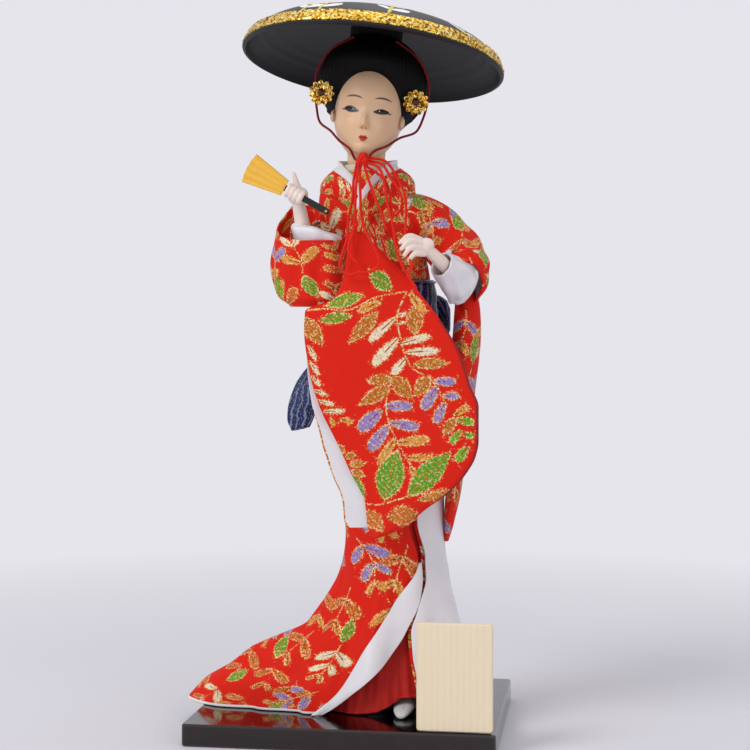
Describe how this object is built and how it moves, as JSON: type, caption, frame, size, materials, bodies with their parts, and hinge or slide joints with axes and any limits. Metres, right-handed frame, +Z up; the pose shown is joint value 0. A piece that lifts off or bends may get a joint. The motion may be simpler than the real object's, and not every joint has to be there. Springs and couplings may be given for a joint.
{
  "type": "geisha doll",
  "caption": "Display doll in a flowered red kimono with a trailing hem, wide lacquered hat, folding fan and back bow, standing on a black board with a bare wooden plaque.",
  "frame": {"origin": "centre of the base board's underside", "axes": "+Z up through the figure, -Y to the front, +X to the doll's left hand"},
  "size_m": [0.1333, 0.1099, 0.2968],
  "materials": {
    "black_lacquer": "gloss black-brown lacquer over wood",
    "pale_wood": "plain planed wood, bare",
    "brocade": "red woven brocade with gold, copper, green, violet and cream motifs",
    "plain_red": "plain red cloth",
    "white_satin": "white satin, soft sheen",
    "navy_sash": "navy cloth with a fine silver-blue wave pattern",
    "face_ivory": "ivory, satin; painted eyes, brows and lips",
    "hair_black": "black thread hair, combed",
    "hat_shell": "charcoal black, satin gloss, painted flowers on the crown",
    "gold_braid": "gold glitter braid",
    "gold_filigree": "gold filigree",
    "amber_bead": "dark amber bead, gloss",
    "red_cord": "twisted bright red silk cord",
    "dark_red_cord": "dark red cord",
    "fan_gold": "golden yellow paper, satin",
    "fan_black": "black lacquered sticks",
    "wire": "bare steel wire",
    "padding": "off-white padding, hidden by the dress"
  },
  "bodies": {
    "figure": {"base_board": "black_lacquer", "padded_body": "padding", "leg_wire_left": "wire", "leg_wire_right": "wire", "foot_left": "white_satin", "foot_right": "white_satin", "kimono_skirt": "brocade", "skirt_lining_left": "white_satin", "skirt_lining_right": "white_satin", "red_underskirt": "plain_red", "kimono_bodice": "brocade", "obi_band": "navy_sash", "under_collar": "white_satin", "collar_band": "brocade", "hand_cord": "red_cord", "hand_cord_tail": "red_cord", "sleeve_right_bag": "brocade", "cuff_right": "white_satin", "sleeve_right_panel": "brocade", "sleeve_right_lining": "white_satin", "sleeve_left_bag": "brocade", "cuff_left": "white_satin", "sleeve_left_panel": "brocade", "forearm_right": "face_ivory", "arm_wire_right": "wire", "forearm_left": "face_ivory", "arm_wire_left": "wire", "bow_center_knot": "navy_sash", "bow_loop_left_pad": "navy_sash", "bow_loop_right_pad": "navy_sash", "bow_tail_left_pad": "navy_sash", "bow_tail_right_pad": "navy_sash"},
    "head_and_hat": {"head": "face_ivory", "hair_shell": "hair_black", "hair_bun": "hair_black", "hair_rosette_left": "gold_filigree", "rosette_bead_left": "amber_bead", "hair_rosette_right": "gold_filigree", "rosette_bead_right": "amber_bead", "hat_shell": "hat_shell", "hat_braid": "gold_braid", "hat_pad": "padding", "chin_cord_left": "dark_red_cord", "chin_cord_right": "dark_red_cord", "bow_knot": "red_cord", "bow_loop_left": "red_cord", "bow_tail_left": "red_cord", "bow_tail_middle": "red_cord", "bow_tail_right": "red_cord", "bow_loop_right": "red_cord"},
    "fan": {"fan_guard_front": "fan_black", "fan_rib": "fan_black", "fan_guard_back": "fan_black", "fan_rivet": "gold_filigree", "fan_leaf": "fan_gold"},
    "plaque": {"name_plaque": "pale_wood"}
  },
  "joints": [
    {"name": "head_turn", "type": "hinge", "parent": "figure", "child": "head_and_hat", "pos_m": [0.0036, 0, 0.226], "axis": [0, 0, 1], "range_deg": [-6, 0]},
    {"name": "fan_draw", "type": "slide", "parent": "figure", "child": "fan", "axis": [-0.8704, 0, 0.4924], "range_m": [0, 0.02]},
    {"name": "plaque_lift", "type": "slide", "parent": "figure", "child": "plaque", "axis": [0, 0, 1], "range_m": [0, 0.03]}
  ]
}
